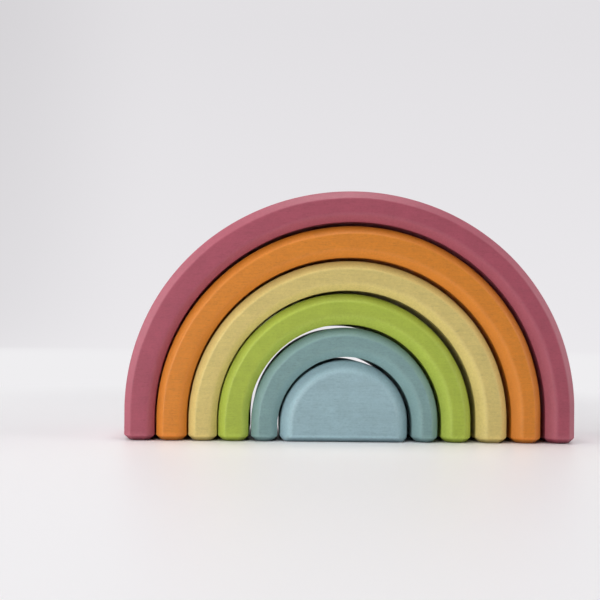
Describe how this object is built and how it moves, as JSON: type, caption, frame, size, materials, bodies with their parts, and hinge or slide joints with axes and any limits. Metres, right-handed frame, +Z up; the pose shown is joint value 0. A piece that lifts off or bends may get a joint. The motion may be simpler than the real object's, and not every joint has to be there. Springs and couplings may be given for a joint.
{
  "type": "rainbow stacker",
  "caption": "Wooden rainbow stacker: nesting arches with chamfered edges over a solid half-round core, each piece sliding out of the one around it.",
  "frame": {"origin": "on the table, under the middle of the largest arch: half its width and half its depth", "axes": "+X to the right along the rainbow's width, +Y to the back along the depth, +Z up; the front face looks along -Y"},
  "size_m": [0.17, 0.05, 0.0946],
  "materials": {
    "raspberry_stained_wood": "matte water-based stain and oil on lime wood",
    "orange_stained_wood": "matte water-based stain and oil on lime wood",
    "yellow_stained_wood": "matte water-based stain and oil on lime wood",
    "green_stained_wood": "matte water-based stain and oil on lime wood",
    "teal_stained_wood": "matte water-based stain and oil on lime wood",
    "blue_stained_wood": "matte water-based stain and oil on lime wood"
  },
  "bodies": {
    "raspberry_arch": {"raspberry_arch": "raspberry_stained_wood"},
    "orange_arch": {"orange_arch": "orange_stained_wood"},
    "yellow_arch": {"yellow_arch": "yellow_stained_wood"},
    "green_arch": {"green_arch": "green_stained_wood"},
    "teal_arch": {"teal_arch": "teal_stained_wood"},
    "blue_core": {"blue_core": "blue_stained_wood"}
  },
  "joints": [
    {"name": "orange_slide", "type": "slide", "parent": "raspberry_arch", "child": "orange_arch", "axis": [0, -1, 0], "range_m": [-0.055, 0.055]},
    {"name": "yellow_slide", "type": "slide", "parent": "orange_arch", "child": "yellow_arch", "axis": [0, -1, 0], "range_m": [-0.055, 0.055]},
    {"name": "green_slide", "type": "slide", "parent": "yellow_arch", "child": "green_arch", "axis": [0, -1, 0], "range_m": [-0.055, 0.055]},
    {"name": "teal_slide", "type": "slide", "parent": "green_arch", "child": "teal_arch", "axis": [0, -1, 0], "range_m": [-0.055, 0.055]},
    {"name": "core_slide", "type": "slide", "parent": "teal_arch", "child": "blue_core", "axis": [0, -1, 0], "range_m": [-0.055, 0.055]}
  ]
}
